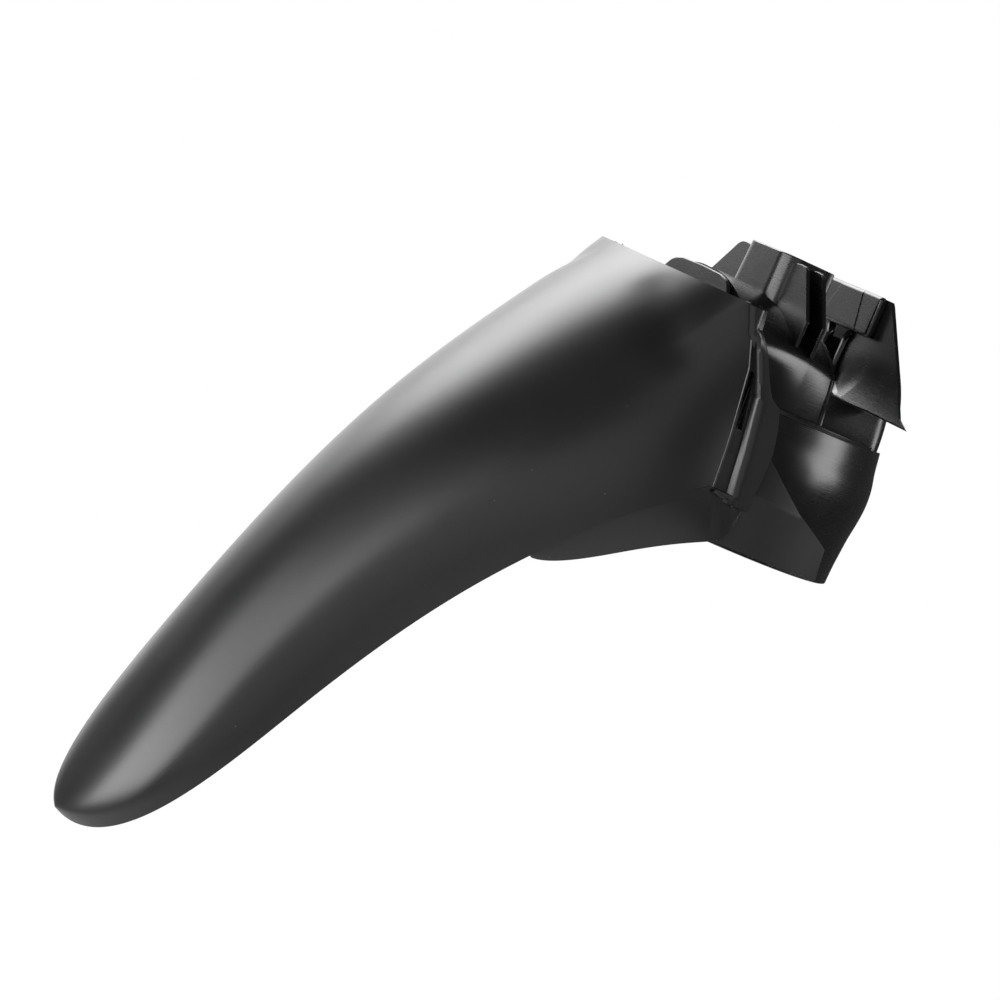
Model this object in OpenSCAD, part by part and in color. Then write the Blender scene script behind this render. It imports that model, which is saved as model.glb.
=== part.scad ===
// Motorcycle mudguard: one black polypropylene moulding with a long front
// blade and, behind it, an inner housing that goes round the steering column.
// The column frame has its z axis along the column and its origin on the
// column axis, level with the blade's rear top edge. The whole moulding is
// laid back by the rake at the end, so Z is up and X is forward.

/* [What to draw] */
// which piece to draw

/* [Vehicle] */
// how far the steering column leans back, in degrees
rake = 26.2; // [15:0.1:35]

/* [Moulding] */
// wall thickness
wall = 2.5; // [1.8:0.1:4]
// steps along the blade
blade_steps = 26; // [16:2:40]
// steps across half of the blade, a multiple of two
half_steps = 10; // [8:2:16]

/* [Blade] */
// half width of the rear rim at its upper corners
corner_y = 98; // [80:1:110]
// how far forward the upper corners are
corner_x = 62; // [50:1:75]
// how much further forward the rim is in the middle
rim_bow = 32; // [15:1:45]
// half width at the lower rear corners
low_y = 112; // [100:1:125]
// how far forward the lower rear corners are
low_x = 44; // [35:1:60]
// how far below the rim the lower rear corners are
low_z = 103; // [80:1:120]
// how far forward the tip reaches
tip_x = 279; // [250:1:310]
// how far below the rim the tip is
tip_z = 417; // [380:1:450]
// fullness of the blade's section
section_n = 2.2; // [2:0.1:3]

/* [Side flange] */
// depth of the rebate that the front cover lies in
rebate = 3.5; // [2:0.5:5]

/* [Tunnel] */
// half width over the tunnel's side walls
tunnel_y = 76; // [65:1:85]
// height of the tunnel's roof
roof_z = 9.5; // [6:0.5:14]
// front end of the tunnel
tunnel_front = 47; // [40:1:58]
// rear end of the tunnel
tunnel_rear = -22; // [-35:1:-10]
// underside of the ledge below the tunnel
ledge_z = -49; // [-60:1:-40]

/* [Stem shroud] */
// half width of the shroud
shroud_y = 26; // [24:1:34]
// front face of the shroud
shroud_x = 16; // [12:1:20]
// top of the shroud
shroud_top = 35; // [28:1:42]
// rear face of the shroud
shroud_rear = -13.5; // [-16:0.5:-13]
// hole for the frame's locating sleeve, under the shroud
locating_bore = 20.2; // [16:0.1:22]

/* [Wings] */
// front face of the wing plate
wing_x = -50; // [-60:1:-44]
// half span at the lower corners
wing_y = 121; // [100:1:130]
// height of the wings' lower edge
wing_low = -28; // [-36:1:-22]

/* [Cup and skirt] */
// greatest radius of the cup
cup_r = 100; // [92:1:108]
// lower edge of the cup
cup_low = -131; // [-140:1:-120]
// radius of the skirt
skirt_r = 115; // [110:1:125]
// lower edge of the skirt
skirt_low = -128; // [-136:1:-118]
// front end of the skirt, behind the lip
skirt_end = 31; // [28:1:40]
// diameter of the fixing holes, free for M6
fix_bore = 6.6; // [5.5:0.1:9]

/* [Hidden] */
$fn = 72;
// the blade's crown runs through these places, seen from the side
crown = [[corner_x + rim_bow, 0], [117, -25], [188, -118], [250.5, -272],
         [tip_x + 3, 14 - tip_z], [tip_x, -tip_z]];
// and its lower edge through these
edge = [[low_x, low_y, -low_z], [81, 117.6, -123], [133, 96, -181], [189, 65, -284],
        [tip_x - 16, 70.5, -7 - tip_z], [tip_x, 0, -tip_z]];
// rear rim of the side, from the upper corner down
side_slope = (low_y - corner_y) / low_z;
side_rim = [[corner_x, 0], [54.7, -17.7], [49.4, -33.4], [47.3, -53.2], [45.3, -72.9],
            [44.4, -90.2], [low_x, -low_z]];
// rear end of the rebate
step_line = [[53.5, -13.5], [48.5, -20], [42.5, -33], [37, -46], [33, -75], [30, -low_z]];
// free rear edge of the flange
flange_edge = [[53.5, 0], [52, -11.7], [43.6, -21.6], [36, -35.8], [30.9, -43.2],
               [24, -47], [20.3, -57.7], [17.8, -71.6], [18.5, -86.7], [19.8, -99.1],
               [21, -111.5]];
tilt = atan(side_slope);

// smooth curves

function knot(i) = i < 4 ? 0 : i > 5 ? 1 : (i - 3) / 3;
function ratio(a, b) = b == 0 ? 0 : a / b;
function basis(i, k, t) = k == 0
    ? (t >= knot(i) && t < knot(i + 1) ? 1 : 0)
    : ratio(t - knot(i), knot(i + k) - knot(i)) * basis(i, k - 1, t)
      + ratio(knot(i + k + 1) - t, knot(i + k + 1) - knot(i + 1)) * basis(i + 1, k - 1, t);
function weights(t) = [for (i = [0:5]) basis(i, 3, min(t, 0.99999))];
function along(c, t) = weights(t) * c;

// the blade's outer face

function lobe(c, e, n, q) =
    let (f = pow(sin(abs(q) * 90), 2 / n), g = 1 - pow(max(0, cos(q * 90)), 2 / n))
    [c[0] + (e[0] - c[0]) * g, sign(q) * e[1] * f, c[1] + (e[2] - c[1]) * g];
function side_x(z) = lookup(z, [for (p = side_rim) [p[1], p[0]]]);
function rim(q) =
    abs(q) <= 0.5
    ? [corner_x + rim_bow * cos(q * 180), corner_y * sin(q * 180), 0]
    : let (z = -low_z * (2 * abs(q) - 1)) [side_x(z), sign(q) * (corner_y - side_slope * z), z];
function blade_row(s) =
    let (c = along(crown, s), e = along(edge, s), w = pow(max(0, 1 - s / 0.3), 3))
    [for (j = [-half_steps:half_steps])
        let (q = -j / half_steps, p = lobe(c, e, section_n + 0.3 * s, q))
        w == 0 ? p : p + w * (rim(q) - lobe(crown[0], edge[0], section_n, q))];
function unit(v) = v / norm(v);

module blade() {
    n = blade_steps;
    m = 2 * half_steps;
    rows = [for (i = [0:n - 1]) blade_row(pow(i / n, 1.05))];
    tip = [tip_x, 0, -tip_z];
    inner = [for (i = [0:n - 1]) [for (j = [0:m])
        let (a = rows[max(0, i - 1)][j], b = i == n - 1 ? tip : rows[i + 1][j],
             c = rows[i][max(0, j - 1)], d = rows[i][min(m, j + 1)])
        rows[i][j] + wall * unit(cross(b - a, d - c))]];
    points = concat([for (r = rows) each r], [tip], [for (r = inner) each r],
                    [tip + [-2.2, 0, 1.6]]);
    k = n * (m + 1) + 1;
    faces = concat(
        [for (i = [0:n - 2], j = [0:m - 1]) let (a = i * (m + 1) + j)
            [a, a + m + 1, a + 1]],
        [for (i = [0:n - 2], j = [0:m - 1]) let (a = i * (m + 1) + j)
            [a + 1, a + m + 1, a + m + 2]],
        [for (j = [0:m - 1]) let (a = (n - 1) * (m + 1) + j) [a, k - 1, a + 1]],
        [for (i = [0:n - 2], j = [0:m - 1]) let (a = k + i * (m + 1) + j)
            [a, a + 1, a + m + 1]],
        [for (i = [0:n - 2], j = [0:m - 1]) let (a = k + i * (m + 1) + j)
            [a + 1, a + m + 2, a + m + 1]],
        [for (j = [0:m - 1]) let (a = k + (n - 1) * (m + 1) + j) [a, a + 1, 2 * k - 1]],
        [for (j = [0:m - 1]) [j, j + 1, k + j]],
        [for (j = [0:m - 1]) [j + 1, k + j + 1, k + j]],
        [for (i = [0:n - 1]) let (a = i * (m + 1), b = i == n - 1 ? k - 1 : a + m + 1)
            [a, k + a, b]],
        [for (i = [0:n - 1]) let (a = i * (m + 1), b = i == n - 1 ? k - 1 : a + m + 1)
            [b, k + a, k + b]],
        [for (i = [0:n - 1]) let (a = i * (m + 1) + m, b = i == n - 1 ? k - 1 : a + m + 1)
            [a, b, k + a]],
        [for (i = [0:n - 1]) let (a = i * (m + 1) + m, b = i == n - 1 ? k - 1 : a + m + 1)
            [b, k + b, k + a]]);
    polyhedron(points, faces, convexity = 6);
}

// the lower lip hangs inside the blade's edge and runs on under the flange
module lip() {
    high = concat([[23.5, 112.6, -103.4], [31, 113, -103.2], [38, 113, -103]],
        [for (i = [0:9]) along(edge, 0.005 + 0.034 * i) + [0, -1.2, 4]]);
    low_line = [[23.5, 114, -107], [24, 116, -124], [35, 115.5, -129], [64, 107, -144.5],
                [107, 97, -176], [120, 95, -176]];
    n = len(high);
    low = [for (i = [0:n - 1]) along(low_line, pow(i / (n - 1), 0.9))];
    ring = concat(high, low);
    back = [for (p = ring) p - [0, wall, 0]];
    faces = concat(
        [for (i = [0:n - 2]) [i + 1, i, n + i]],
        [for (i = [0:n - 2]) [n + i + 1, i + 1, n + i]],
        [for (i = [0:n - 2]) [3 * n + i, 2 * n + i, 2 * n + i + 1]],
        [for (i = [0:n - 2]) [3 * n + i, 2 * n + i + 1, 3 * n + i + 1]],
        [for (i = [0:n - 2]) [2 * n + i, i, i + 1]],
        [for (i = [0:n - 2]) [2 * n + i, i + 1, 2 * n + i + 1]],
        [for (i = [0:n - 2]) [n + i + 1, n + i, 3 * n + i]],
        [for (i = [0:n - 2]) [3 * n + i + 1, n + i + 1, 3 * n + i]],
        [[n, 0, 2 * n], [3 * n, n, 2 * n]],
        [[3 * n - 1, n - 1, 2 * n - 1], [3 * n - 1, 2 * n - 1, 4 * n - 1]]);
    polyhedron(concat(ring, back), faces, convexity = 4);
}

module both() {
    children();
    mirror([0, 1, 0]) children();
}

// a flat shape on the blade's side plane, a depth below its outer face
module on_side(depth, thick) {
    translate([0, corner_y, 0])
        rotate([90 + tilt, 0, 0])
            translate([0, 0, depth])
                linear_extrude(thick)
                    scale([1, 1 / cos(tilt)])
                        children();
}

module side_flange() {
    n = len(step_line) - 1;
    under = [for (i = [0:n]) [side_x(step_line[i][1]) + 3, step_line[i][1]]];
    // floor of the rebate, with the slot for the cover's tab
    difference() {
        on_side(rebate, wall)
            polygon(concat(under, [for (i = [n:-1:0]) step_line[i] - [1.2, 0]]));
        on_side(rebate - 1, wall + 2)
            polygon([[49.2, -34], [44.8, -34.3], [39.6, -66], [43.9, -65.6]]);
    }
    // joggle that carries the blade's edge down to the rebate
    on_side(1, rebate + wall - 1.4)
        polygon(concat(under, [for (i = [n:-1:0]) under[i] - [2.6, 0]]));
    // wall at the rear of the rebate
    on_side(wall - 0.6, rebate + 0.2)
        polygon(concat([for (p = step_line) p], [for (i = [n:-1:0]) step_line[i] - [wall, 0]]));
    // outer flange, level with the blade, and its ear at the upper corner
    on_side(0, wall)
        polygon(concat([[59.5, -0.8], [56.4, -12]], [for (i = [0:n]) step_line[i] + [0.1, 0]],
                       [[30.1, -112]], [for (i = [10:-1:0]) flange_edge[i] - [0, 0.8]]));
    // end wall of the rebate
    on_side(0.3, rebate + wall - 0.1)
        polygon([[low_x + 4, -low_z + 1], [27, -low_z + 1], [27, -low_z - 4],
                 [low_x + 4, -low_z - 4]]);
}

// flat shelf between the blade's rear rim and the tunnel
module shelf() {
    translate([0, 0, -5])
        linear_extrude(wall)
            polygon(concat([for (a = [-90:6:90])
                [corner_x + (rim_bow + 1) * cos(a), (corner_y - 1.2) * sin(a)]],
                [[tunnel_front - 2, corner_y - 1.2], [tunnel_front - 2, 1.2 - corner_y]]));
    // upstand on the shelf
    across(50, 52.5)
        polygon([[-46, -4], [-46, 2], [-44, 5.5], [-35, 8], [-20, 8.7], [20, 8.7], [35, 8],
                 [44, 5.5], [46, 2], [46, -4]]);
}

// section of the tunnel, a full arch on upright sides
function arch(y, top) = let (r = (top - ledge_z)) [for (i = [0:40])
    let (a = i * 4.5, c = cos(a), s = sin(a))
    [sign(c) * y * pow(abs(c), 2 / 2.6), ledge_z + r * pow(s, 2 / 2.6)]];

module across(x0, x1) {
    translate([x0, 0, 0])
        rotate([90, 0, 90])
            linear_extrude(x1 - x0)
                children();
}

module tunnel() {
    difference() {
        across(tunnel_rear, tunnel_front)
            polygon(arch(tunnel_y, roof_z));
        across(tunnel_rear - 1, tunnel_front - wall)
            translate([0, -1])
                polygon(arch(tunnel_y - wall, roof_z - wall + 1));
        // the tunnel is open to the front below the shelf
        across(tunnel_front - 5, tunnel_front + 1)
            translate([-tunnel_y + 6, ledge_z - 1])
                square([2 * tunnel_y - 12, -ledge_z - 6]);
        // locating hole under the shroud
        cylinder(d = locating_bore, h = 40, center = true, $fn = 48);
    }
}

// wall from the tunnel out to the flanges
module bulkhead() {
    both() across(tunnel_front - 6.5, tunnel_front - 4)
        polygon([[tunnel_y - 1.3, -4], [corner_y - 5, -4], [low_y - 5, -low_z - 1.6],
                 [cup_r - 9, -low_z - 1.6], [cup_r - 11, ledge_z + 1], [tunnel_y - 1.3, ledge_z + 1]]);
}

// shroud over the locating hole, open at its top
module stem_shroud() {
    difference() {
        translate([0, 0, 4])
            linear_extrude(shroud_top - 4)
                shroud_plan(0, 9);
        linear_extrude(shroud_top + 1)
            shroud_plan(wall, 6.5);
    }
}

module shroud_plan(inset, r) {
    x = shroud_x - inset;
    y = shroud_y - inset;
    polygon(concat([[shroud_rear + inset, -y]],
        [for (a = [-90:15:0]) [x - r + r * cos(a), -y + r + r * sin(a)]],
        [for (a = [0:15:90]) [x - r + r * cos(a), y - r + r * sin(a)]],
        [[shroud_rear + inset, y]]));
}

// the two upright ribs on each side of the shroud
module ribs() {
    for (x = [11.7, 0])
        both() across(x - 1.2, x + 1.2)
            polygon([[shroud_y - 1, shroud_top - 3.5], [40, shroud_top - 2.6],
                     [46, shroud_top - 4], [50, shroud_top - 7], [71, 4], [72.5, -10],
                     [70, -18], [60, -12], [50, -3], [35, 3], [shroud_y - 1, 4]]);
}

// shallow box on the front of the wing plate, open to the rear
module rear_box() {
    difference() {
        across(wing_x - 1, -46.4 + 2)
            polygon([[-34, shroud_top], [34, shroud_top], [36.5, 10], [-36.5, 10]]);
        across(wing_x - wall - 1, -46.4 + 2 - wall)
            polygon([[-31.5, shroud_top - 2.4], [31.5, shroud_top - 2.4], [33.8, 12.5],
                     [-33.8, 12.5]]);
    }
}

module wings() {
    difference() {
        across(wing_x - wall, wing_x)
            polygon([[-41, shroud_top - 0.5], [41, shroud_top - 0.5], [44, 32.5], [95, -11.4],
                     [108, -21.2], [wing_y, wing_low], [-wing_y, wing_low], [-108, -21.2],
                     [-95, -11.4], [-44, 32.5]]);
        // slot for the column between the wings
        across(wing_x - wall - 1, wing_x + 1)
            polygon(concat([[-14, 8], [-11, 3]],
                [for (a = [0:15:90]) [-33 + 22 * cos(a), -8 - 20.5 * sin(a)]],
                [[-33, -40], [33, -40]],
                [for (a = [90:-15:0]) [33 - 22 * cos(a), -8 - 20.5 * sin(a)]],
                [[11, 3], [14, 8]]));
        // the box in front of the plate is open to the rear
        across(wing_x - wall - 1, wing_x + 1)
            polygon([[-31, 14], [31, 14], [29, 31], [-29, 31]]);
    }
    // lower edge flares forward
    both() translate([wing_x, 0, wing_low])
        rotate([90, 0, 180])
            translate([0, 0, 33])
                linear_extrude(wing_y - 33.5)
                    polygon([[0.8, 10], [-0.6, 5.6], [-2, 3], [-4.6, 0.8], [-4.6, -1.2],
                             [-1.4, 0.3], [1.4, 2.6]]);
}

// low walls that carry the wings behind the tunnel, joined across the rear
module block() {
    r = 10;
    x = -66.5;
    y = tunnel_y - 0.3;
    translate([0, 0, ledge_z + 0.6])
        linear_extrude(wing_low - ledge_z)
            polygon(concat(
                [[tunnel_rear + 3, y]],
                [for (a = [90:15:180]) [x + r + r * cos(a), y - r + r * sin(a)]],
                [for (a = [180:15:270]) [x + r + r * cos(a), r - y + r * sin(a)]],
                [[tunnel_rear + 3, -y], [tunnel_rear + 3, wall - y]],
                [for (a = [270:-15:180])
                    [x + r + (r - wall) * cos(a), r - y + (r - wall) * sin(a)]],
                [for (a = [180:-15:90])
                    [x + r + (r - wall) * cos(a), y - r + (r - wall) * sin(a)]],
                [[tunnel_rear + 3, y - wall]]));
    // the middle of the rear wall stands higher
    across(x + 0.3, x + wall - 0.3)
        polygon([[-46, ledge_z + 4], [46, ledge_z + 4], [44, 13], [-44, 13]]);
    // webs from the wing plate back to the rear wall
    both() translate([x + 1, 27, ledge_z + 10])
        cube([wing_x - wall - x, wall, 42]);
    // top of the block, under the wings
    both() translate([0, 0, wing_low - wall + 0.3])
        linear_extrude(wall - 0.4)
            polygon([[tunnel_rear + 2, y - 0.4], [-57, y - 0.4], [-63.5, y - 4.5],
                     [-65.6, y - 11], [-65.6, 26], [-51, 26], [-51, 60], [tunnel_rear + 2, 66]]);
}

// ledge between the tunnel's foot and the top of the cup
module ledge() {
    difference() {
        translate([0, 0, ledge_z])
            intersection() {
                cylinder(r = cup_r - 4.6, h = wall);
                translate([-63, -120, -1])
                    cube([63 + tunnel_front - 3, 240, 10]);
            }
        translate([-80, -tunnel_y + wall, ledge_z - 1])
            cube([80 + 56, 2 * (tunnel_y - wall), 10]);
        // fixing holes, one on each side
        for (y = [-86.5, 86.5])
            translate([0, y, ledge_z - 1])
                cylinder(d = fix_bore, h = 10, $fn = 32);
    }
}

// round housing below the ledge, open to the rear
module cup() {
    difference() {
        rotate_extrude()
            polygon([[cup_r - 8.6, ledge_z + 1], [cup_r - 6, ledge_z + 1], [cup_r - 3.8, -60], [cup_r - 1, -70], [cup_r, -80],
                     [cup_r - 0.5, -90], [cup_r - 2, -102], [cup_r - 3, -120],
                     [cup_r - 3, cup_low], [cup_r - 5.5, cup_low], [cup_r - 5.5, -120],
                     [cup_r - 4.5, -102], [cup_r - 3, -90], [cup_r - 2.5, -80],
                     [cup_r - 3.5, -70], [cup_r - 6.3, -60]]);
        translate([-150, -42, cup_low - 1])
            cube([150, 84, 100]);
    }
}

// short outer skirt on the cup, cut off obliquely towards the rear
module skirt() {
    intersection() {
        rotate_extrude()
            polygon([[skirt_r, skirt_low], [skirt_r, -96], [cup_r + 4, -71],
                     [cup_r - 1, -71], [cup_r - 1, -74], [skirt_r - wall, -97],
                     [skirt_r - wall, skirt_low]]);
        translate([0, 130, 0])
            rotate([90, 0, 0])
                linear_extrude(260)
                    polygon([[21, -66], [15.6, -74.1], [-11.4, -95.6], [-39.3, -108.7],
                             [-42.4, -126.6], [-41.4, -135], [skirt_end, -135],
                             [skirt_end, -104.5], [22.5, -101.5]]);
    }
    // web from the skirt's front end to the lip
    both() translate([skirt_end - 3, cup_r - 1, skirt_low + 1])
        cube([2.4, skirt_r - cup_r - 0.5, 22]);
}

module mudguard() {
    color([0.09, 0.09, 0.1])
        rotate([0, -rake, 0]) translate([0, 0, -roof_z]) {
            blade();
            both() lip();
            both() side_flange();
            shelf();
            tunnel();
            bulkhead();
            stem_shroud();
            ribs();
            rear_box();
            wings();
            block();
            ledge();
            cup();
            skirt();
        }
}

mudguard();
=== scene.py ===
# Motorcycle mudguard: one black polypropylene moulding. Every surface below is worked out in the
# column frame, in millimetres: z along the steering column, x forward, y to the left, with the origin
# on the column's axis, level with the rear top edge of the blade.
import math

import bmesh
import bpy
import numpy as np
from mathutils import Matrix, Vector


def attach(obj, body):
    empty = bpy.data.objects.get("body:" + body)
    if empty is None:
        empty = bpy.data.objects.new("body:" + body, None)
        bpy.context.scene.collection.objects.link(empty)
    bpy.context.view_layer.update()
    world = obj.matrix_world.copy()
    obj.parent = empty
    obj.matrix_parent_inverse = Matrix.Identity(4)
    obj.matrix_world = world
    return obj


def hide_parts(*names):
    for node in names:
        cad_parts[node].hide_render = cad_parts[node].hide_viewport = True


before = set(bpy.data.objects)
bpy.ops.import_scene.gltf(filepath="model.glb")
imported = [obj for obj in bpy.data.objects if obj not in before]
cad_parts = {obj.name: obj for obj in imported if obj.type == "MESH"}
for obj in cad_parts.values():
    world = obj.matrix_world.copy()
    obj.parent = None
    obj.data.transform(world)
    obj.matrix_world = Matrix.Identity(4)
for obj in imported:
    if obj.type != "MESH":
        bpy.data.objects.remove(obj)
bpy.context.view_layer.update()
scene = bpy.context.scene

# Camera and studio
# The moulding is seen from its left, a little from the front and from above, in a white room: a wall of
# light behind it, soft boxes over and beside it, and a pale floor well below it. The floor ends short of
# the rear, so that the housing reflects the dark.
RAKE = math.radians(26.2)
ROOF_Z = 9.5
EYE = (883.5, 1665.0, 0.0)
EYE_TURN = math.radians(25.0)
EYE_ROLL = math.radians(24.5)
EYE_DROP = math.radians(5.051)
LENS = 115.2
FLOOR_Z, FLOOR_REAR, FLOOR_REACH = -0.75, -0.45, 6.0


def to_vehicle(points):
    """Column frame in millimetres to the vehicle frame in metres: lowered by the height of the tunnel's
    roof, then turned back about Y by the rake."""
    p = np.asarray(points, float)
    x, y, z = p[..., 0], p[..., 1], p[..., 2] - ROOF_Z
    c, s = math.cos(RAKE), math.sin(RAKE)
    return np.stack([x * c - z * s, y, x * s + z * c], -1) / 1000


def turned(direction):
    """A direction in the column frame, turned back about Y by the rake."""
    return Vector(to_vehicle(direction) - to_vehicle((0, 0, 0))).normalized()


def photo_camera():
    """The sight line lies in the plane turned from +Y by EYE_TURN and drops by EYE_DROP; the picture's
    upright is then rolled by EYE_ROLL about it."""
    s, c = math.sin(EYE_TURN), math.cos(EYE_TURN)
    level = np.array([-c, s, 0.0])
    sight = np.array([-s * math.cos(EYE_DROP), -c * math.cos(EYE_DROP), -math.sin(EYE_DROP)])
    upright = np.cross(level, sight)
    right = turned(math.cos(EYE_ROLL) * level + math.sin(EYE_ROLL) * upright)
    up = turned(-math.sin(EYE_ROLL) * level + math.cos(EYE_ROLL) * upright)
    back = turned(-sight)
    data = bpy.data.cameras.new("photo_camera")
    data.lens = LENS
    data.sensor_width = 36.0
    camera = bpy.data.objects.new("photo_camera", data)
    camera.matrix_world = Matrix.Translation(Vector(to_vehicle(EYE))) @ Matrix(
        (right, up, back)).transposed().to_4x4()
    scene.collection.objects.link(camera)
    scene.camera = camera


def soft_box(name, place, target, size, power):
    """A rectangular area lamp at a place, facing a target."""
    data = bpy.data.lights.new(name, "AREA")
    data.shape = "RECTANGLE"
    data.size, data.size_y = size
    data.energy = power
    lamp = bpy.data.objects.new(name, data)
    lamp.location = place
    lamp.rotation_euler = (Vector(target) - Vector(place)).to_track_quat("-Z", "Y").to_euler()
    scene.collection.objects.link(lamp)


photo_camera()
scene.view_settings.view_transform = "Standard"
MIDDLE = (0.15, 0.0, -0.1)
soft_box("front_box", (2.1, 0.15, 0.66), MIDDLE, (2.6, 1.2), 78)
soft_box("back_box", (-0.1, -1.7, 1.15), MIDDLE, (1.6, 0.9), 30)
soft_box("back_wall", (-0.3, -1.6, 0.1), (-0.2, 0.0, 0.0), (2.0, 1.3), 14)
soft_box("low_box", (-1.42, 0.86, -0.2), MIDDLE, (0.7, 0.8), 12)
soft_box("fill_box", (0.9, 3.4, 0.9), MIDDLE, (3.4, 3.0), 24)


def camera_switch(tree, seen, unseen):
    """Mixes two shaders by Is Camera Ray: the first where the camera looks straight at it."""
    path = tree.nodes.new("ShaderNodeLightPath")
    mix = tree.nodes.new("ShaderNodeMixShader")
    tree.links.new(path.outputs["Is Camera Ray"], mix.inputs[0])
    tree.links.new(unseen.outputs[0], mix.inputs[1])
    tree.links.new(seen.outputs[0], mix.inputs[2])
    return mix


world = bpy.data.worlds.new("white_room")
scene.world = world
world.use_nodes = True
wt = world.node_tree
wt.nodes.clear()
seen = wt.nodes.new("ShaderNodeBackground")
seen.inputs["Color"].default_value = (1, 1, 1, 1)
unseen = wt.nodes.new("ShaderNodeBackground")
unseen.inputs["Color"].default_value = (1, 1, 1, 1)
unseen.inputs["Strength"].default_value = 0.06
out = wt.nodes.new("ShaderNodeOutputWorld")
wt.links.new(camera_switch(wt, seen, unseen).outputs[0], out.inputs["Surface"])

floor_mesh = bpy.data.meshes.new("floor")
floor_mesh.from_pydata([(FLOOR_REAR, -FLOOR_REACH, FLOOR_Z), (FLOOR_REACH, -FLOOR_REACH, FLOOR_Z),
                        (FLOOR_REACH, FLOOR_REACH, FLOOR_Z), (FLOOR_REAR, FLOOR_REACH, FLOOR_Z)], [],
                       [(0, 1, 2, 3)])
floor = bpy.data.objects.new("floor", floor_mesh)
scene.collection.objects.link(floor)
pale = bpy.data.materials.new("pale_floor")
pale.use_nodes = True
ft = pale.node_tree
ft.nodes.clear()
floor_seen = ft.nodes.new("ShaderNodeEmission")
floor_seen.inputs["Color"].default_value = (1, 1, 1, 1)
floor_lit = ft.nodes.new("ShaderNodeBsdfDiffuse")
floor_lit.inputs["Color"].default_value = (0.8, 0.8, 0.8, 1)
floor_out = ft.nodes.new("ShaderNodeOutputMaterial")
ft.links.new(camera_switch(ft, floor_seen, floor_lit).outputs[0], floor_out.inputs["Surface"])
floor_mesh.materials.append(pale)


# Blade
# The long front blade is the mould's show side: satin black with a fine grain, crowned across, rolled
# down to a thin edge at both sides and drawn out to a rounded tip. Its wall is 2.5 mm thick.
WALL = 2.5
CORNER_X, CORNER_Y = 62.0, 98.0
RIM_BOW = 32.0
MIRROR = np.array([1, -1, 1])
LOW_X, LOW_Y, LOW_Z = 44.0, 112.0, 103.0
TIP_X, TIP_Z = 279.0, 417.0
CROWN = np.array([[CORNER_X + RIM_BOW, 0], [117, -25], [188, -118], [250.5, -272],
                  [TIP_X + 3, 14 - TIP_Z], [TIP_X, -TIP_Z]])
EDGE = np.array([[LOW_X, LOW_Y, -LOW_Z], [81, 117.6, -123], [133, 96, -181], [189, 65, -284],
                 [TIP_X - 16, 70.5, -7 - TIP_Z], [TIP_X, 0, -TIP_Z]])
SIDE_RIM = np.array([[CORNER_X, 0], [54.7, -17.7], [49.4, -33.4], [47.3, -53.2], [45.3, -72.9],
                     [44.4, -90.2], [LOW_X, -LOW_Z]])
SIDE_SLOPE = (LOW_Y - CORNER_Y) / LOW_Z
ROW_PACE, SIDE_CROWD = 1.15, 0.35
POWER, POWER_GAIN = 2.2, 0.3
EASE_END = 0.3
VALLEY = ((105, 55, -10), (92, 88, -38))
VALLEY_DEPTH, VALLEY_REACH, VALLEY_START = 1.6, 13.0, 0.03


def weights(t):
    """Weights of six control points: cubic B-splines on a clamped knot row with two inner knots, by the
    Cox-de Boor rule."""
    knots = np.array([0, 0, 0, 0, 1 / 3, 2 / 3, 1, 1, 1, 1])
    t = np.minimum(np.atleast_1d(np.asarray(t, float)), 1 - 1e-9)[:, None]
    w = ((t >= knots[:-1]) & (t < knots[1:])).astype(float)
    for d in (1, 2, 3):
        left = knots[d:-1] - knots[:-d - 1]
        right = knots[d + 1:] - knots[1:-d]
        a = np.divide(t - knots[:-d - 1], left, out=np.zeros((len(t), len(left))), where=left > 0)
        b = np.divide(knots[d + 1:] - t, right, out=np.zeros((len(t), len(right))), where=right > 0)
        w = a * w[:, :-1] + b * w[:, 1:]
    return w


def along(control, t):
    """The point at t on the smooth curve that the control points pull."""
    return weights(t) @ control


def side_x(z):
    """Forward place of the blade's rear edge at a height, on its side."""
    return np.interp(-np.asarray(z), -SIDE_RIM[:, 1], SIDE_RIM[:, 0])


def side_y(z):
    """Half width of the blade's flat side at a height."""
    return CORNER_Y - SIDE_SLOPE * np.asarray(z)


def lobe(c, e, n, q):
    """A superellipse quarter from the crown c to the edge e, mirrored: the width follows
    sin(q 90)^(2/n) and the drop 1 - cos(q 90)^(2/n)."""
    f = np.sin(np.abs(q) * np.pi / 2) ** (2 / n)
    g = 1 - np.maximum(0, np.cos(q * np.pi / 2)) ** (2 / n)
    x = c[..., 0] + (e[..., 0] - c[..., 0]) * g
    z = c[..., 1] + (e[..., 2] - c[..., 1]) * g
    return np.stack([x, np.sign(q) * e[..., 1] * f, z], -1)


def rear_rim(q):
    """Rear rim: half an ellipse in the plane z = 0 between the upper corners, then down the sides."""
    a = np.clip(q, -0.5, 0.5) * np.pi
    z = -LOW_Z * np.maximum(0, 2 * np.abs(q) - 1)
    x = np.where(np.abs(q) <= 0.5, CORNER_X + RIM_BOW * np.cos(a), side_x(z))
    y = np.where(np.abs(q) <= 0.5, CORNER_Y * np.sin(a), np.sign(q) * side_y(z))
    return np.stack([x, y, z], -1)


def normals(grid):
    """Unit normals of a grid: the cross product of its differences along rows and along columns."""
    n = np.cross(np.gradient(grid, axis=0), np.gradient(grid, axis=1))
    return n / np.maximum(np.linalg.norm(n, axis=-1, keepdims=True), 1e-9)


def from_segment(p, a, b):
    """Distance of points from a straight piece of line."""
    a, b = np.array(a, float), np.array(b, float)
    t = np.clip(((p - a) @ (b - a)) / ((b - a) @ (b - a)), 0, 1)
    return np.linalg.norm(p - a - t[..., None] * (b - a), axis=-1)


def outward(p):
    """Unit normals of the blade's grid, turned away from the column."""
    n = normals(p)
    return n * np.sign(n[n.shape[0] // 2, n.shape[1] // 2] @ np.array([1, 0, 0.4]))


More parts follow.
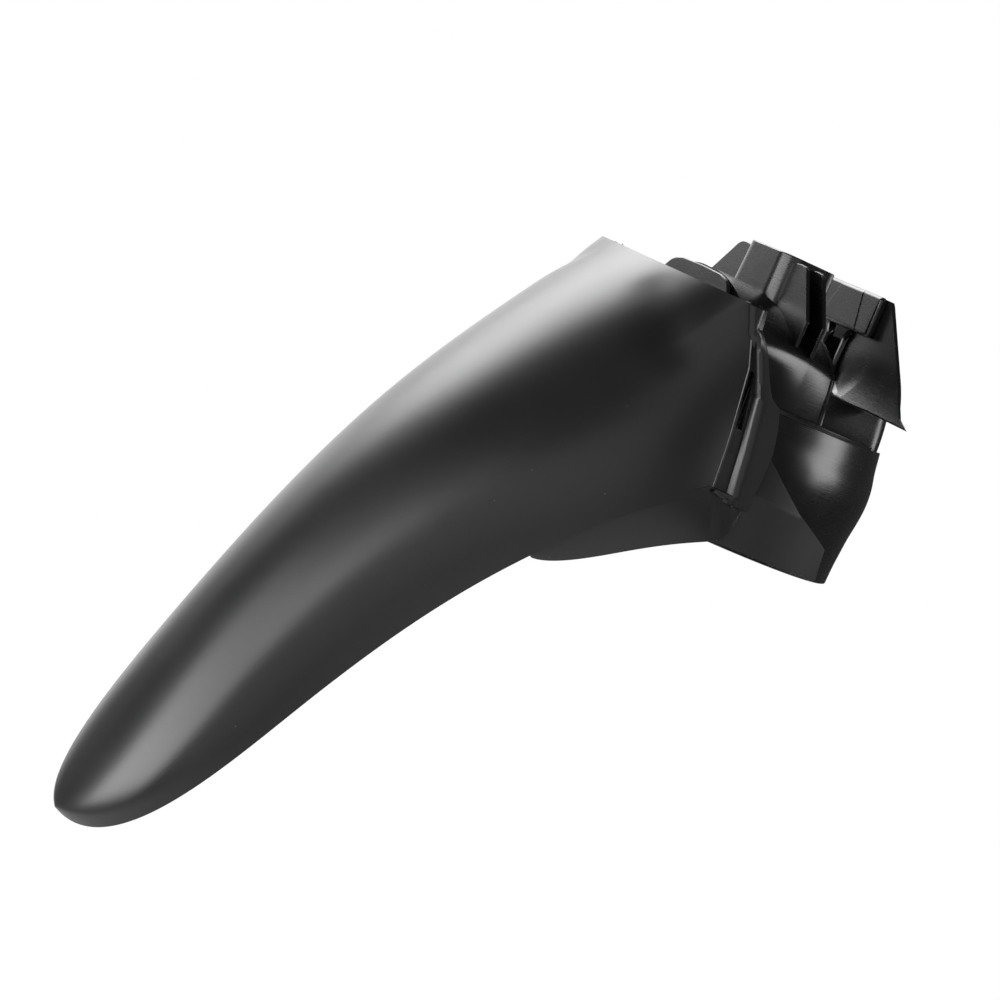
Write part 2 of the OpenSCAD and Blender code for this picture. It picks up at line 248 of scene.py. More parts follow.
def blade_face(rows, columns):
    """Outer face: a superellipse section swept from the rear rim to the tip, eased into the rim's own
    outline over the first third. A shallow valley inside each upper corner falls off as exp(-(d / r)^2).
    Rows crowd towards the rear rim and columns towards the sides."""
    s = np.linspace(0, 1, rows) ** ROW_PACE
    s[-1] = 1 - 1e-4
    even = np.linspace(-1, 1, columns)
    q = np.sin(even * np.pi / 2) * SIDE_CROWD + even * (1 - SIDE_CROWD)
    s, q = np.meshgrid(s, q, indexing="ij")
    c = along(CROWN, s.ravel()).reshape(rows, columns, 2)
    e = along(EDGE, s.ravel()).reshape(rows, columns, 3)
    p = lobe(c, e, POWER + POWER_GAIN * s, q)
    start = lobe(CROWN[0] + 0 * c, EDGE[0] + 0 * e, POWER + POWER_GAIN * s, q)
    ease = np.maximum(0, 1 - s / EASE_END)[..., None] ** 3
    p = p + ease * (rear_rim(q) - start)
    for side in (MIRROR ** 2, MIRROR):
        away = from_segment(p, np.array(VALLEY[0]) * side, np.array(VALLEY[1]) * side)
        hold = 1 - np.maximum(0, 1 - s / VALLEY_START) ** 2
        p = p - (VALLEY_DEPTH * hold * np.exp(-(away / VALLEY_REACH) ** 2))[..., None] * outward(p)
    return p


def grid_faces(rows, columns, keep, first):
    """The kept quads between neighbouring rows and columns, as vertex numbers from the first one on."""
    i, j = np.meshgrid(np.arange(rows - 1), np.arange(columns - 1), indexing="ij")
    a = first + i * columns + j
    quads = np.stack([a, a + columns, a + columns + 1, a + 1], -1)
    return quads[keep]


def wall(name, grids, material, edge, thick=WALL, holes=None):
    """A moulded wall: one or more outer faces given as grids, thickened inwards, with rounded edges.
    Faces whose middles a hole's test returns true for are left out."""
    points, faces, first = [], [], 0
    for g in grids:
        mid = (g[1:, 1:] + g[:-1, :-1] + g[1:, :-1] + g[:-1, 1:]) / 4
        keep = np.full(mid.shape[:2], True) if holes is None else ~holes(mid)
        points.append(to_vehicle(g).reshape(-1, 3))
        faces.append(grid_faces(g.shape[0], g.shape[1], keep, first))
        first += g.shape[0] * g.shape[1]
    mesh = bpy.data.meshes.new(name)
    mesh.from_pydata(np.concatenate(points).tolist(), [], np.concatenate(faces).tolist())
    finished(name, mesh, thick, edge, material)


def finished(name, mesh, thick, edge, material):
    """Merges doubles, thickens a sheet inwards unless its thickness is 0, rounds its sharp edges and
    seats it in the frame."""
    bm = bmesh.new()
    bm.from_mesh(mesh)
    bmesh.ops.remove_doubles(bm, verts=bm.verts, dist=2e-5)
    bmesh.ops.delete(bm, geom=[v for v in bm.verts if not v.link_faces], context="VERTS")
    bm.to_mesh(mesh)
    bm.free()
    mesh.polygons.foreach_set("use_smooth", [True] * len(mesh.polygons))
    piece = bpy.data.objects.new(name, mesh)
    scene.collection.objects.link(piece)
    if thick:
        solid = piece.modifiers.new("wall", "SOLIDIFY")
        solid.thickness = thick / 1000
        solid.offset = -1
    bevel = piece.modifiers.new("edges", "BEVEL")
    bevel.width = edge / 1000
    bevel.segments = 2
    bevel.limit_method = "ANGLE"
    bevel.angle_limit = math.radians(38)
    bevel.harden_normals = True
    mesh.materials.append(material)
    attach(piece, "root")
    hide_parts("mudguard")


class Tone:
    """A socket of the shader. Arithmetic on it adds Math nodes, and node() adds any other."""

    def __init__(self, tree, socket=None):
        self.tree, self.socket = tree, socket

    def put(self, node, key, value):
        if isinstance(value, Tone):
            self.tree.links.new(value.socket, node.inputs[key])
        else:
            node.inputs[key].default_value = value

    def node(self, kind, settings=None, inputs=None, output=0):
        made = self.tree.nodes.new("ShaderNode" + kind)
        for key, value in (settings or {}).items():
            setattr(made, key, value)
        for key, value in (inputs or {}).items():
            self.put(made, key, value)
        return Tone(self.tree, made.outputs[output])

    def math(self, operation, a, b):
        return self.node("Math", {"operation": operation}, {0: a, 1: b})

    def __add__(self, other):
        return self.math("ADD", self, other)

    def __mul__(self, other):
        return self.math("MULTIPLY", self, other)

    __radd__, __rmul__ = __add__, __mul__

    def noise(self, coordinates, scale, detail, roughness=0.5):
        return self.node("TexNoise", None, {"Vector": coordinates, "Scale": scale, "Detail": detail,
                                            "Roughness": roughness})

    def blend(self, mask, dark, light):
        """Colour that goes from dark to light with the mask."""
        return self.node("MixRGB", None, {0: mask, 1: dark, 2: light})


def plastic(name):
    """An empty Principled material and the Tone that builds it, with column coordinates in millimetres."""
    material = bpy.data.materials.new(name)
    material.use_nodes = True
    tree = material.node_tree
    shader = tree.nodes["Principled BSDF"]
    tone = Tone(tree)
    place = tone.node("TexCoord", output="Object")
    place = tone.node("Mapping", None, {"Vector": place, "Rotation": (0, RAKE, 0),
                                        "Scale": (1000, 1000, 1000)})
    return material, shader, tone, place


def grained_black():
    """Satin black polypropylene: a fine grain in the bump, faint cloudy changes of sheen, dust specks."""
    material, shader, tone, place = plastic("grained_black")
    clouds = tone.noise(place, 0.012, 2.0)
    grain = tone.noise(place, 1.5, 2.0, 0.6)
    specks = tone.node("TexVoronoi", {"feature": "F1"}, {"Vector": place, "Scale": 0.06})
    dust = tone.math("LESS_THAN", specks, 0.022)
    shader.inputs["IOR"].default_value = 1.49
    tone.put(shader, "Base Color", tone.blend(dust * 0.5 + clouds * 0.05, (0.0055, 0.0055, 0.006, 1),
                                              (0.12, 0.12, 0.12, 1)))
    tone.put(shader, "Roughness", 0.26 + clouds * 0.1 + grain * 0.06)
    bump = tone.node("Bump", None, {"Strength": 0.25, "Distance": 0.0002, "Height": grain})
    tone.put(shader, "Normal", bump)
    return material


satin = grained_black()
wall("blade", [blade_face(170, 121)], edge=0.6, material=satin)


# Lower lips
# On each side a low lip hangs inside the blade's edge, from the middle of the blade back to the housing.
# It closes the gap beside the wheel and is moulded in one with the blade.
LIP_HIGH = np.array([[23.5, 112.6, -103.4], [31, 113, -103.2], [38, 113, -103]])
LIP_LOW = np.array([[23.5, 114, -107], [24, 116, -124], [35, 115.5, -129], [64, 107, -144.5],
                    [107, 97, -176], [120, 95, -176]])
LIP_REACH, LIP_INSET, LIP_BULGE = 0.31, 2.2, 0.5


def flipped(grid):
    """The same surface on the other side of the moulding, with its rows kept facing outwards."""
    return (grid * MIRROR)[:, ::-1]


def lip_face(rows, columns):
    """A ruled surface between the blade's edge, set inwards more and more towards the front, and a
    smooth lower line; its middle bulges by half a millimetre."""
    u = np.linspace(0, 1, rows)
    run = np.linspace(0.005, LIP_REACH, 60)
    inset = np.stack([0 * run, -LIP_INSET * run / LIP_REACH, 4 + 0 * run], -1)
    rail = np.concatenate([LIP_HIGH, along(EDGE, run) + inset])
    place = np.concatenate([[0, 0.08, 0.16], 0.25 + 0.75 * np.linspace(0, 1, 60)])
    high = np.stack([np.interp(u, place, rail[:, k]) for k in range(3)], -1)
    low = along(LIP_LOW, u ** 0.9)
    v = np.linspace(0, 1, columns)[None, :, None]
    p = high[:, None] * (1 - v) + low[:, None] * v
    p[..., 1] += LIP_BULGE * np.sin(np.pi * v[..., 0])
    return p


lip = lip_face(120, 24)
wall("lower_lips", [lip, flipped(lip)], edge=0.6, material=satin)


# Side rebates and flanges
# Behind the blade's edge each side steps in by 3.5 mm for the front cover to lie in, with one slot for
# the cover's tab, then steps out again to a flange that is level with the blade.
REBATE, REBATE_TOP, REBATE_LOW = 3.5, -13.0, -102.0
EAR, EAR_LOW = 1.8, -22.0
STEP = np.array([[56.4, -12], [53.5, -13.5], [48.5, -20], [42.5, -33], [37, -46], [33, -75],
                 [30, -LOW_Z], [29.5, -112]])
FLANGE = np.array([[53.5, 0], [52, -11.7], [43.6, -21.6], [36, -35.8], [30.9, -43.2], [24, -47],
                   [20.3, -57.7], [17.8, -71.6], [18.5, -86.7], [19.8, -99.1], [21, -112]])
SLOT = np.array([[49.2, 44.8, -34], [43.9, 39.6, -66]])


def slot_edge(z, side):
    """Forward place of the slot's front edge (side 0) or rear edge (side 1) at a height."""
    return np.interp(z, SLOT[::-1, 2], SLOT[::-1, side])


def strip_face():
    """Rows run down the side; each column is a corner of the rebate's section, at a forward place and a
    depth below the blade's side. The depth fades in below the upper ear and ends at the lower wall."""
    slot_top, slot_low = SLOT[:, 2]
    z = np.concatenate([np.linspace(-0.8, slot_top, 46), np.linspace(slot_top - 0.7, slot_low, 44),
                        np.linspace(slot_low - 0.8, REBATE_LOW + 0.2, 48), [REBATE_LOW - 0.4],
                        np.linspace(-103.2, -106, 4)])
    front = np.where(z > -LOW_Z, side_x(z), LOW_X - 10)
    step = np.minimum(np.interp(-z, -STEP[:, 1], STEP[:, 0]), front - 0.4)
    back = np.interp(-z, -FLANGE[:, 1], FLANGE[:, 0])
    soft = np.clip((REBATE_TOP - z) / 9, 0, 1)
    deep = REBATE * soft * soft * (3 - 2 * soft) * (z > REBATE_LOW)
    lean = np.minimum(1.0 + 2.2 * np.clip((-40 - z) / 60, 0, 1), np.maximum(0.2, front - step - 0.6))
    foot = step + lean * (deep > 0)
    slot_front = np.clip(slot_edge(z, 0), foot + 0.6, front - 0.9)
    slot_back = np.clip(slot_edge(z, 1), foot + 0.3, slot_front - 0.2)
    ear = np.clip((z - EAR_LOW) / 10, 0, 1) * EAR
    rough = 0.35 * np.sin(z * 3.1) * np.sin(z * 1.7 + 1) * np.clip((z + 80) / 20, 0, 1) * (deep > 1)
    columns = [(front + 2.2, np.minimum(1.4, deep + 1.0)), (front + 0.8, np.minimum(2.6, deep + 0.6)),
               (front - 0.2, deep * 0.96), (front - 0.6, deep),
               (slot_front, deep), (slot_back, deep), (foot + 0.2, deep), (foot - 0.1, deep * 0.93),
               (step + 0.7 * lean, deep * 0.72 + rough), (step + 0.35 * lean, deep * 0.4 + rough),
               (step + 0.1, deep * 0.1), (step - 0.3, 0 * deep),
               (0.75 * step + 0.25 * back, 0.25 * ear), (0.5 * step + 0.5 * back, 0.5 * ear),
               (0.25 * step + 0.75 * back, 0.75 * ear), (back, ear)]
    x = np.stack([c[0] + 0 * z for c in columns], 1)
    y = side_y(z)[:, None] - np.stack([c[1] + 0 * z for c in columns], 1)
    return np.stack([x, y, np.repeat(z[:, None], len(columns), 1)], -1)


def in_slot(mid):
    """True inside the slot: between its ends, and between its front and rear edges."""
    x, z = mid[..., 0], mid[..., 2]
    return (z < SLOT[0, 2]) & (z > SLOT[1, 2]) & (x < slot_edge(z, 0)) & (x > slot_edge(z, 1))


strip = strip_face()
wall("side_flanges", [strip[:, ::-1], strip * MIRROR], thick=2.3, edge=0.3, material=satin,
     holes=in_slot)


# Shelf and upstand
# A flat shelf, a little below the rim, joins the blade's rear edge to the tunnel behind it. A low rib
# with sloping ends stands upright on it.
TUNNEL_FRONT, TUNNEL_REAR = 47.0, -22.0
SHELF_Z, SHELF_GAP = -5.0, 1.2
UPSTAND = [[-46.5, -2], [-41.3, 3.2], [-38.7, 5.1], [-34.4, 6.8], [-26, 8.3], [-2, 8.8], [2, 8.8],
           [26, 8.3], [34.4, 6.8], [38.7, 5.1], [41.3, 3.2], [46.5, -2]]


def plate(name, outlines, material, edge=0.5):
    """Flat walls with straight sides: each outline is a ring of points, extruded by a vector, and its
    edges are rounded. An outline may list further rings as holes."""
    mesh = bpy.data.meshes.new(name)
    bm = bmesh.new()
    for rings, thick in outlines:
        edges = []
        for ring in rings:
            verts = [bm.verts.new(Vector(v)) for v in to_vehicle(ring)]
            edges += [bm.edges.new((verts[i - 1], verts[i])) for i in range(len(verts))]
        filled = bmesh.ops.triangle_fill(bm, edges=edges, use_beauty=True)["geom"]
        faces = [f for f in filled if isinstance(f, bmesh.types.BMFace)]
        corners = list(dict.fromkeys(v for f in faces for v in f.verts))
        borders = list(dict.fromkeys(e for f in faces for e in f.edges))
        bmesh.ops.dissolve_limit(bm, angle_limit=0.01, verts=corners, edges=borders)
        faces = [f for f in bm.faces if not f.tag]
        out = bmesh.ops.extrude_face_region(bm, geom=faces)["geom"]
        shift = Vector(to_vehicle(thick) - to_vehicle((0, 0, 0)))
        bmesh.ops.translate(bm, vec=shift, verts=[g for g in out if isinstance(g, bmesh.types.BMVert)])
        for f in bm.faces:
            f.tag = True
    bmesh.ops.recalc_face_normals(bm, faces=bm.faces)
    bm.to_mesh(mesh)
    bm.free()
    finished(name, mesh, 0, edge, material)


def upright(x, outline):
    """A ring of (y, z) points as a ring of points at one forward place."""
    return [(x, y, z) for y, z in outline]


def level(z, outline):
    """A ring of (x, y) points as a ring of points at one height."""
    return [(x, y, z) for x, y in outline]


turn = np.linspace(-math.pi / 2, math.pi / 2, 41)
shelf = [(CORNER_X + (RIM_BOW + 1) * math.cos(a), (CORNER_Y - SHELF_GAP) * math.sin(a)) for a in turn]
shelf += [(TUNNEL_FRONT - 2, CORNER_Y - SHELF_GAP), (TUNNEL_FRONT - 2, SHELF_GAP - CORNER_Y)]


def polished_black(name, sheen):
    """Smooth black polypropylene, with the mould's fine cutter marks running level round the column."""
    material, shader, tone, place = plastic(name)
    marks = tone.node("Mapping", None, {"Vector": place, "Scale": (0.02, 0.02, 2.2)})
    lines = tone.noise(marks, 1.0, 2.0, 0.6)
    clouds = tone.noise(place, 0.03, 3.0, 0.6)
    specks = tone.node("TexVoronoi", {"feature": "F1"}, {"Vector": place, "Scale": 0.07})
    dust = tone.math("LESS_THAN", specks, 0.025)
    shader.inputs["IOR"].default_value = 1.49
    tone.put(shader, "Base Color", tone.blend(dust * 0.6 + clouds * 0.04, (0.004, 0.004, 0.0045, 1),
                                              (0.14, 0.14, 0.14, 1)))
    tone.put(shader, "Roughness", sheen + clouds * 0.14 + lines * 0.08)
    bump = tone.node("Bump", None, {"Strength": 0.2, "Distance": 0.00012, "Height": lines})
    tone.put(shader, "Normal", bump)
    return material


gloss = polished_black("polished_black", 0.15)
brushed = polished_black("brushed_black", 0.34)
plate("shelf", [([level(SHELF_Z, shelf)], (0, 0, WALL))], gloss)
plate("upstand", [([upright(TUNNEL_FRONT + 3, UPSTAND)], (WALL, 0, 0))], gloss, edge=0.7)


# Tunnel
# A broad tunnel passes over the fork crown. It runs straight at the front, then falls and narrows to the
# rear, where a thin bead runs round it. Its foot stands on the ledge, and the shroud breaks through it.
TUNNEL_Y, LEDGE_Z = 76.0, -49.0
ROOF_FALL, FALL_START, FALL_POWER = 6.5, 32.0, 1.7
FLARE, FLARE_Z, FLARE_REACH = 7.0, -21.0, 12.0
BEAD = 0.9
FRONT_ARCH = np.array([[0, ROOF_Z], [24, ROOF_Z + 2], [TUNNEL_Y - 6, -7], [TUNNEL_Y, -17],
                       [TUNNEL_Y - 1, -30], [TUNNEL_Y, LEDGE_Z]])
REAR_ARCH = np.array([[0, ROOF_Z - ROOF_FALL], [15, ROOF_Z - ROOF_FALL + 2], [TUNNEL_Y - 12, -12.5],
                      [TUNNEL_Y - 8, -23.5], [TUNNEL_Y - 6, -28], [TUNNEL_Y, LEDGE_Z]])
SHROUD_Y, SHROUD_X, SHROUD_REAR = 26.0, 16.0, -13.5


def tunnel_face(rows, columns):
    """Two smooth sections: the rear one gains weight with the 1.7th power of the way back. Towards the
    front the shoulders spread by up to 7 mm. The last 2 mm swell by a millimetre into the bead."""
    x = np.concatenate([np.linspace(TUNNEL_FRONT, TUNNEL_REAR + 3, rows - 10),
                        np.linspace(TUNNEL_REAR + 2.8, TUNNEL_REAR, 10)])
    t = np.linspace(0, 1, columns)
    front, rear = along(FRONT_ARCH, t), along(REAR_ARCH, t)
    way = np.gradient(rear, axis=0)
    out = np.stack([-way[:, 1], way[:, 0]], -1) / np.linalg.norm(way, axis=1)[:, None]
    fall = np.clip((FALL_START - x) / (FALL_START - TUNNEL_REAR), 0, 1) ** FALL_POWER
    swell = BEAD * np.sqrt(np.clip(1 - ((x - TUNNEL_REAR - 1.2) / 1.4) ** 2, 0, 1))
    ahead = (np.clip(x, 0, TUNNEL_FRONT) / TUNNEL_FRONT)[:, None] ** 1.3
    flare = FLARE * ahead * np.exp(-((front[None, :, 1] - FLARE_Z) / FLARE_REACH) ** 2)
    section = front[None] + fall[:, None, None] * (rear - front)[None] + swell[:, None, None] * out[None]
    section[..., 0] += flare
    half = np.concatenate([np.repeat(x[:, None], columns, 1)[..., None], section], -1)
    return np.concatenate([half[:, ::-1], half[:, 1:] * MIRROR], 1)


def under_shroud(mid):
    """True inside the shroud's plan."""
    x, y = mid[..., 0], mid[..., 1]
    return (x > SHROUD_REAR + 1) & (x < SHROUD_X - 1.5) & (np.abs(y) < SHROUD_Y - 2) & (mid[..., 2] > -10)


wall("tunnel", [tunnel_face(90, 91)], edge=0.4, material=gloss, holes=under_shroud)


# Bulkhead
# A flat wall on each side closes the space between the tunnel and the flanges. It reaches from the
# tunnel's shoulder down to the lower lip and stiffens the sides.
CUP_R = 100.0
BULKHEAD = [[TUNNEL_Y - 1.3, -24], [CORNER_Y - 2, -24], [LOW_Y - 5, -LOW_Z - 1.6],
            [CUP_R - 9, -LOW_Z - 1.6], [CUP_R - 11, LEDGE_Z + 1], [TUNNEL_Y - 1.3, LEDGE_Z + 1]]


def both_sides(outline):
    """An outline of (y, z) points and the same one mirrored."""
    return outline, [[-y, z] for y, z in outline]


plate("bulkheads", [([upright(TUNNEL_FRONT - 6.5, ring)], (WALL, 0, 0)) for ring in both_sides(BULKHEAD)],
      gloss)


# Stem shroud
# A square collar with rounded front corners stands on the tunnel round the locating hole, a little wider
# at its foot. Its top is open, and its floor is the flat seat of the locating sleeve.
SHROUD_TOP, SHROUD_FOOT = 35.0, -1.0
SHROUD_ROUND, SHROUD_DRAFT = 9.0, 2.4
BORE_R = 10.1


def shroud_ring(inset):
    """Ring in plan: two square corners behind and two quarter circles in front."""
    r = SHROUD_ROUND - inset
    x, y, rear = SHROUD_X - inset, SHROUD_Y - inset, SHROUD_REAR + inset
    arc = np.linspace(0, math.pi / 2, 12)
    ring = [(rear, -y)]
    ring += [(x - r + r * math.cos(a - math.pi / 2), -y + r + r * math.sin(a - math.pi / 2)) for a in arc]
    ring += [(x - r + r * math.cos(a), y - r + r * math.sin(a)) for a in arc]
    return ring + [(rear, y)]


def paced(line, count):
    """Points at even steps along a line of straight pieces."""
    run = np.concatenate([[0], np.cumsum(np.linalg.norm(np.diff(line, axis=0), axis=1))])
    at = np.linspace(0, run[-1], count)
    return np.stack([np.interp(at, run, line[:, k]) for k in range(line.shape[1])], -1)


def shroud_face(rows):
    """The ring, dense along its straights, repeated up its height; the draft widens it to its foot."""
    ring = np.array(shroud_ring(0))
    counts = [1 + max(2, int(np.linalg.norm(b - a) / 1.2)) for a, b in zip(ring, ring[1:])]
    ring = np.concatenate([paced(ring[k:k + 2], count)[:-1] for k, count in enumerate(counts)]
                          + [paced(np.array([ring[-1], ring[0]]), 40)])
    z = np.linspace(SHROUD_FOOT, SHROUD_TOP, rows)
    grow = 1 + SHROUD_DRAFT / SHROUD_Y * ((SHROUD_TOP - z) / (SHROUD_TOP - SHROUD_FOOT))[:, None]
    return np.stack([np.repeat(ring[None, :, 0], rows, 0), ring[None, :, 1] * grow,
                     np.repeat(z[:, None], len(ring), 1)], -1)


def round_hole(x, y, r, count=32):
    """A ring of points on a circle."""
    return [(x + r * math.cos(k * math.tau / count), y + r * math.sin(k * math.tau / count))
            for k in range(count)]


wall("stem_shroud", [shroud_face(30)], edge=1.0, material=gloss)
plate("shroud_floor", [([level(ROOF_Z - WALL, shroud_ring(0.6)),
                         level(ROOF_Z - WALL, round_hole(0, 0, BORE_R, 96))], (0, 0, WALL))],
      gloss, edge=0.4)


# Ribs
# Two upright ribs on each side brace the shroud against the tunnel. Each ends in a point on the tunnel's
# shoulder.
RIB_X = (11.7, 0.0)
RIB_THICK = 2.4
RIB_TOP = [[SHROUD_Y - 1, 31.5], [37, 32.4], [40, 32.3], [42.6, 31.8], [45, 30.8], [47, 29.4],
           [48.6, 27.6], [71, 4]]
RIB_FOOT = [[71, -11], [68, -11.4], [49, -1.6], [29, 6.9], [SHROUD_Y - 1, 7.5]]


def rib_ring(x):
    """The rib's outline: its foot follows the tunnel as that falls to the rear."""
    fall = ROOF_FALL * (SHROUD_X - x) / (SHROUD_X - TUNNEL_REAR)
    return RIB_TOP + [[y, z - fall] for y, z in RIB_FOOT]


plate("ribs", [([upright(x - RIB_THICK / 2, ring)], (RIB_THICK, 0, 0))
               for x in RIB_X for ring in both_sides(rib_ring(x))], gloss, edge=0.5)


# Rear box
# A shallow box stands out from the front of the wing plate. Its middle is a raised panel, narrower at
# the top.
WING_X = -50.0
BOX_FRONT = -44.4
BOX_WIDE = [[-36.5, 35], [36.5, 35], [37.5, 10], [-37.5, 10]]
BOX_MIDDLE = [[-15.5, 34.8], [15.5, 34.8], [24.3, 10.4], [-24.3, 10.4]]

plate("rear_box", [([upright(WING_X - 0.5, BOX_WIDE)], (BOX_FRONT - WING_X + 0.1, 0, 0)),
                   ([upright(WING_X - 0.5, BOX_MIDDLE)], (BOX_FRONT - WING_X + 0.5, 0, 0))],
      gloss, edge=2.2)


# Wings
# A plate behind the tunnel spreads into two pointed wings. Its inner edge is rolled forward into a thin
# bead, and its lower edge sweeps forward into a wider lip.
WING_Y, WING_LOW = 121.0, -28.0
WING_BEAD, BEAD_REACH = 2.4, 3.0
WING_SWEEP, SWEEP_REACH = 5.0, 24.0
WING_TOP = np.array([[14, 34.5], [39, 34.5], [41.5, 32.8], [88, -9.5], [98, -18.2], [107, -23.8],
                     [WING_Y, WING_LOW]])
WING_CORNER = [[33 - 22 * math.cos(a), -8 - 20 * math.sin(a)] for a in np.linspace(0, math.pi / 2, 30)]
WING_INNER = np.array([[14, 8], [11, 3]] + WING_CORNER + [[WING_Y, WING_LOW]])


def wing_face(rows, columns):
    """Straight lines from the inner and lower edge to the upper edge. At a distance d from that edge the
    plate comes forward by (1 - d / reach)^2 of its bead at the inner edge, or of its sweep at the lower."""
    low, high = paced(WING_INNER, rows), paced(WING_TOP, rows)
    u = np.linspace(0, 1, columns) ** 1.6
    p = low[:, None] * (1 - u[None, :, None]) + high[:, None] * u[None, :, None]
    d = u[None] * np.linalg.norm(high - low, axis=1)[:, None]
    lower = np.clip((low[:, 0] - 18) / 22, 0, 1)[:, None]
    bead = WING_BEAD * np.clip(1 - d / BEAD_REACH, 0, 1) ** 2
    sweep = WING_SWEEP * np.clip(1 - d / SWEEP_REACH, 0, 1) ** 2
    x = WING_X + (1 - lower) * bead + lower * sweep
    return np.concatenate([x[..., None], p], -1)


wing = wing_face(150, 40)
wall("wings", [wing, flipped(wing)], edge=0.5, material=gloss)


# Rear block
# Low walls under the wings close the housing at the rear. They are joined across the back, and a pair
# of webs ties them to the wing plate.
BLOCK_X, BLOCK_ROUND, BLOCK_LEAN = -66.5, 10.0, 0.07


def block_face(rows, columns):
    """The plan runs along the side, round a quarter circle and across the back; the side leans in by
    5 mm towards its top."""
    y = TUNNEL_Y - 0.3
    arc = np.linspace(math.pi / 2, math.pi, 16)
    plan = [(TUNNEL_REAR + 3, y)]
    plan += [(BLOCK_X + BLOCK_ROUND * (1 + math.cos(a)), y - BLOCK_ROUND * (1 - math.sin(a))) for a in arc]
    plan += [(BLOCK_X, 0)]
    plan = paced(np.array(plan), rows)
    v = np.linspace(0, 1, columns)
    lean = 1 - BLOCK_LEAN * v ** 1.5
    x = np.repeat(plan[:, 0, None], columns, 1)
    y = plan[:, 1, None] * lean[None]
    z = np.repeat((LEDGE_Z + 0.6 + v * (WING_LOW - LEDGE_Z - 0.6))[None], rows, 0)
    return np.stack([x, y, z], -1)


block = block_face(110, 20)
wall("rear_block", [block, flipped(block)], edge=0.5, material=gloss)
TOP_PLATE = [(TUNNEL_REAR + 2, 71), (-57, 71), (-63.5, 66), (-65.6, 60), (-65.6, 26), (-51, 26),
             (-51, 60), (TUNNEL_REAR + 2, 64)]
plate("block_tops", [([level(WING_LOW - 2.2, [(x, side * y) for x, y in TOP_PLATE])], (0, 0, 2.1))
                     for side in (1, -1)], gloss)
MIDDLE_WALL = [[-46, -45], [46, -45], [35, 12], [-35, 12]]
plate("rear_middle", [([upright(BLOCK_X + 0.3, MIDDLE_WALL)], (1.9, 0, 0))], gloss)
WEB = [(BLOCK_X + 1, LEDGE_Z + 10), (WING_X - WALL, LEDGE_Z + 10), (WING_X - WALL, 3), (BLOCK_X + 1, 3)]
plate("rear_webs", [([[(x, y, z) for x, z in WEB]], (0, WALL, 0)) for y in (27, -27 - WALL)], gloss)


# Ledge
# A flat ring joins the tunnel's foot to the cup below. One screw on each side goes through it and holds
# the moulding.
LEDGE_R = CUP_R - 4.6
SCREW_Y, SCREW_R = 86.5, 3.3


def ledge_ring(side):
    """An arc of the ledge's outer circle, closed by a straight line inside the tunnel's foot."""
    inner = TUNNEL_Y - WALL
    front = math.asin((TUNNEL_FRONT - 3) / LEDGE_R)
    rear = -math.acos(inner / LEDGE_R)
    arc = [(LEDGE_R * math.sin(a), side * LEDGE_R * math.cos(a)) for a in np.linspace(front, rear, 48)]
    return arc + [(TUNNEL_FRONT - 3, side * inner)]


plate("ledges", [([level(LEDGE_Z, ledge_ring(side)),
                   level(LEDGE_Z, round_hole(0, side * SCREW_Y, SCREW_R))], (0, 0, WALL))
                 for side in (1, -1)], gloss, edge=0.4)


# Cup
# The round cup hangs below the ledge and clears the turning fork crown. It bulges a little below its
# top and is open to the rear.
CUP_LOW = -131.0
CUP_LINE = np.array([[-6.2, LEDGE_Z + 1.2], [-5.4, -49.5], [-3.8, -60], [-1, -70], [0, -80], [-0.5, -90],
                     [-2, -102], [-3, -120], [-3, CUP_LOW]])
CUP_OPEN = 42.0


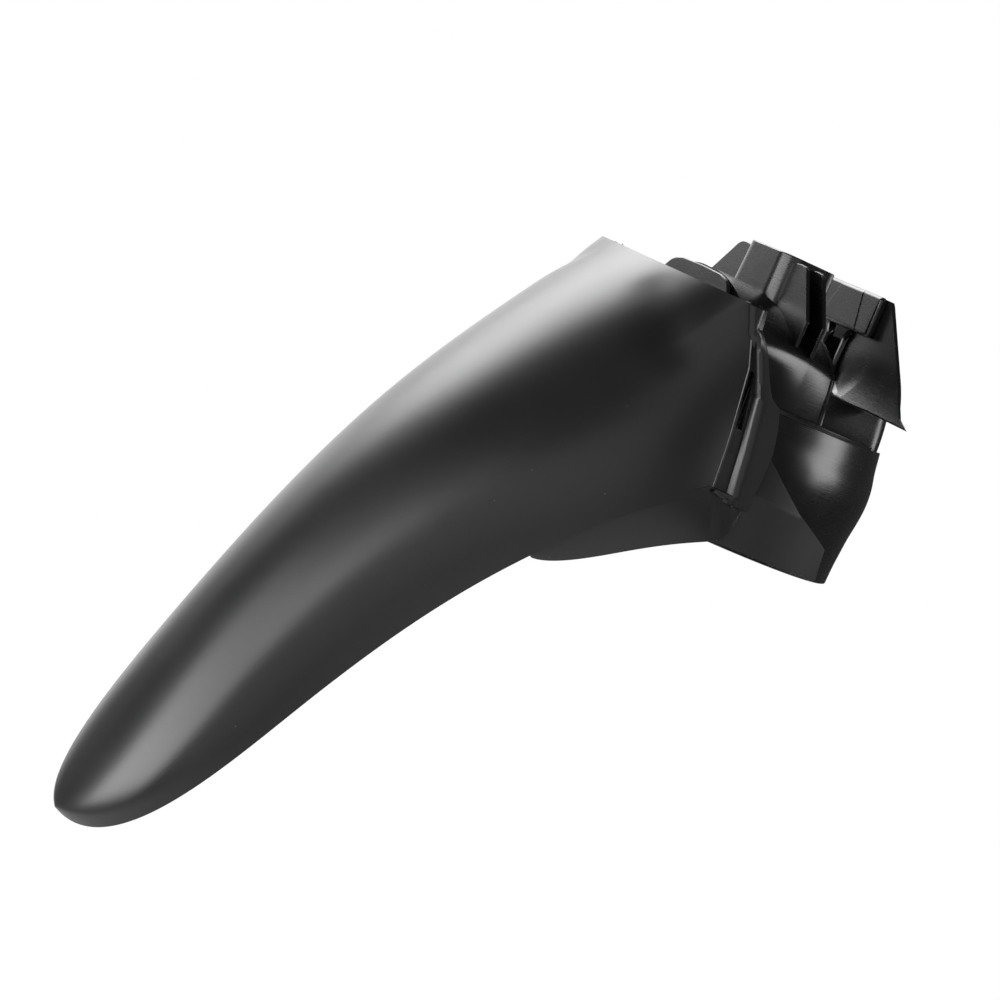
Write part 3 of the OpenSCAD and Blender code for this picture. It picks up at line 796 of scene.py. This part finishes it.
def cup_face(rows, columns):
    """A profile, smoothed by a moving window, turned about the column from one side of the rear opening
    round the front to the other."""
    z = np.linspace(LEDGE_Z + 1.2, CUP_LOW, rows)
    line = np.interp(-z, -CUP_LINE[:, 1], CUP_LINE[:, 0])
    window = np.hanning(19)[1:-1]
    soft = np.convolve(np.pad(line, 8, mode="edge"), window / window.sum(), "valid")
    r = CUP_R + soft
    limit = math.pi - math.asin(CUP_OPEN / (CUP_R - 3))
    a = np.linspace(-limit, limit, columns)
    return np.stack([r[:, None] * np.cos(a), r[:, None] * np.sin(a), np.repeat(z[:, None], columns, 1)], -1)


wall("cup", [cup_face(90, 241)], edge=0.6, material=gloss)


# Skirts
# A short outer skirt flares out of the cup on each side. Its rear end is cut off obliquely, and a small
# web joins its front end to the lip.
SKIRT_R, SKIRT_LOW, SKIRT_STEP, SKIRT_CONE = 115.0, -128.0, -96.0, 11.5
SKIRT_REAR, SKIRT_PEAK, SKIRT_END = -42.4, 21.0, 31.0
SKIRT_TRIM = np.array([[SKIRT_REAR, -126.6], [-39.3, -108.7], [-11.4, -95.6], [15.6, -74.1],
                       [SKIRT_PEAK, -71], [22.5, -101.5], [SKIRT_END, -104.5]])


def skirt_face(rows, columns):
    """Upright from its lower edge to the step, then a cone into the cup; every column is as high as the
    trim line is at that place. The lower edge has the saw's small nibs."""
    x = np.concatenate([np.linspace(SKIRT_REAR, SKIRT_PEAK, columns - 12),
                        np.linspace(SKIRT_PEAK + 1.4, SKIRT_END, 12)])
    a = np.arcsin(x / SKIRT_R)
    top = np.interp(x, SKIRT_TRIM[:, 0], SKIRT_TRIM[:, 1])
    v = np.linspace(0, 1, rows)[:, None]
    nibs = 0.25 * np.maximum(0, np.sin(x * 4.1) * np.sin(x * 2.3 + 0.7))
    knee = np.minimum(top, SKIRT_STEP)
    low = (SKIRT_LOW - nibs)[None] * (1 - v) + knee[None] * v
    high = knee[None] * (1 - v) + top[None] * v
    z = np.concatenate([low, high[1:]])
    r = SKIRT_R - np.clip((z - SKIRT_STEP) / 25, 0, 1) * SKIRT_CONE
    return np.stack([r * np.sin(a), r * np.cos(a), z], -1)


skirt = skirt_face(16, 100)
wall("skirts", [skirt, flipped(skirt)], edge=0.4, material=brushed)
SKIRT_WEB = [[CUP_R - 1, SKIRT_LOW + 1], [SKIRT_R - 1.6, SKIRT_LOW + 1], [SKIRT_R - 1.6, -106],
             [CUP_R - 1, -106]]
plate("skirt_webs", [([upright(SKIRT_END - 3, ring)], (2.4, 0, 0)) for ring in both_sides(SKIRT_WEB)],
      gloss)
